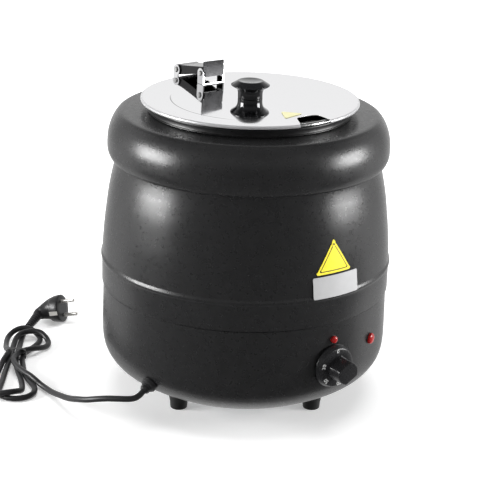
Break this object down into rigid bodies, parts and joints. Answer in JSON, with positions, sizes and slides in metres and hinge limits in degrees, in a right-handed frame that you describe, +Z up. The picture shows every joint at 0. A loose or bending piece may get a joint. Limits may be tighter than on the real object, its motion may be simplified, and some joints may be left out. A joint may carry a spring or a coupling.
{
  "type": "electric soup kettle",
  "caption": "Black steel soup kettle with a lift-out pot, a hinged lid with a ladle notch, a heat dial, pilot lamps and a mains lead tied in a hank.",
  "frame": {"origin": "middle of the base of the box around the kettle without its mains lead, on the surface it stands on", "axes": "+Z up, -Y the front with the dial, +X the right-hand side seen from the front"},
  "size_m": [0.458, 0.4962, 0.3838],
  "materials": {
    "powder_black": "black powder coat with a fine orange-peel grain",
    "neck_black": "black satin paint",
    "polished_steel": "mirror-polished stainless steel",
    "satin_steel": "satin stainless steel",
    "aluminium": "plain rolled",
    "galvanised_steel": "zinc plated",
    "gloss_black_plastic": "glossy black",
    "dial_black_plastic": "satin black",
    "cord_black": "matte black PVC",
    "rubber": "matte black",
    "lens_red": "clear red",
    "ceramic": "off-white moulded",
    "glass_fibre": "loose mat",
    "label_silver": "silver film",
    "label_yellow": "yellow film",
    "label_pale_yellow": "pale yellow film",
    "nickelled_brass": "nickel plated"
  },
  "bodies": {
    "kettle": {"base_pan": "powder_black", "barrel_shell": "powder_black", "shoulder_ring": "powder_black", "neck_ring": "neck_black", "water_well": "satin_steel", "heating_element": "satin_steel", "sensor_bulb": "satin_steel", "thermostat_capillary": "satin_steel", "element_clamp_plate": "aluminium", "bottom_plate": "galvanised_steel", "heat_shield": "galvanised_steel", "gland_locknut": "galvanised_steel", "foot_front_screw": "galvanised_steel", "foot_right_screw": "galvanised_steel", "foot_rear_screw": "galvanised_steel", "foot_left_screw": "galvanised_steel", "cable_gland": "gloss_black_plastic", "power_cord_run": "cord_black", "power_cord_hank": "cord_black", "power_cord_tail": "cord_black", "cord_tie": "cord_black", "plug_body": "cord_black", "plug_strain_relief": "cord_black", "foot_front": "rubber", "foot_right": "rubber", "foot_rear": "rubber", "foot_left": "rubber", "heat_lamp_lens": "lens_red", "power_lamp_lens": "lens_red", "heat_lamp_holder": "ceramic", "power_lamp_holder": "ceramic", "thermostat_body": "ceramic", "thermal_cutout": "ceramic", "terminal_block": "ceramic", "insulation_blanket": "glass_fibre", "nameplate": "label_silver", "body_sticker": "label_yellow", "plug_pin_upper": "nickelled_brass", "plug_pin_lower": "nickelled_brass", "plug_earth_strip_near": "nickelled_brass", "plug_earth_strip_far": "nickelled_brass", "earth_stud": "nickelled_brass"},
    "pot": {"insert_pot": "satin_steel", "hinge_rim_clip": "polished_steel", "hinge_pin": "satin_steel"},
    "lid": {"lid_disc": "polished_steel", "lid_knob": "gloss_black_plastic", "knob_screw": "galvanised_steel", "lid_bracket": "polished_steel", "hinge_arm": "polished_steel", "arm_pin": "satin_steel", "lid_sticker": "label_pale_yellow"},
    "dial": {"control_dial": "dial_black_plastic", "thermostat_shaft": "satin_steel"}
  },
  "joints": [
    {"name": "pot_lift", "type": "slide", "parent": "kettle", "child": "pot", "axis": [0, 0, 1], "range_m": [0, 0.3]},
    {"name": "lid_hinge", "type": "hinge", "parent": "pot", "child": "lid", "pos_m": [0, 0.144, 0.3625], "axis": [-1, 0, 0], "range_deg": [0, 100]},
    {"name": "dial_turn", "type": "hinge", "parent": "kettle", "child": "dial", "pos_m": [0, -0.156, 0.083], "axis": [0, 1, 0], "range_deg": [0, 300]}
  ]
}
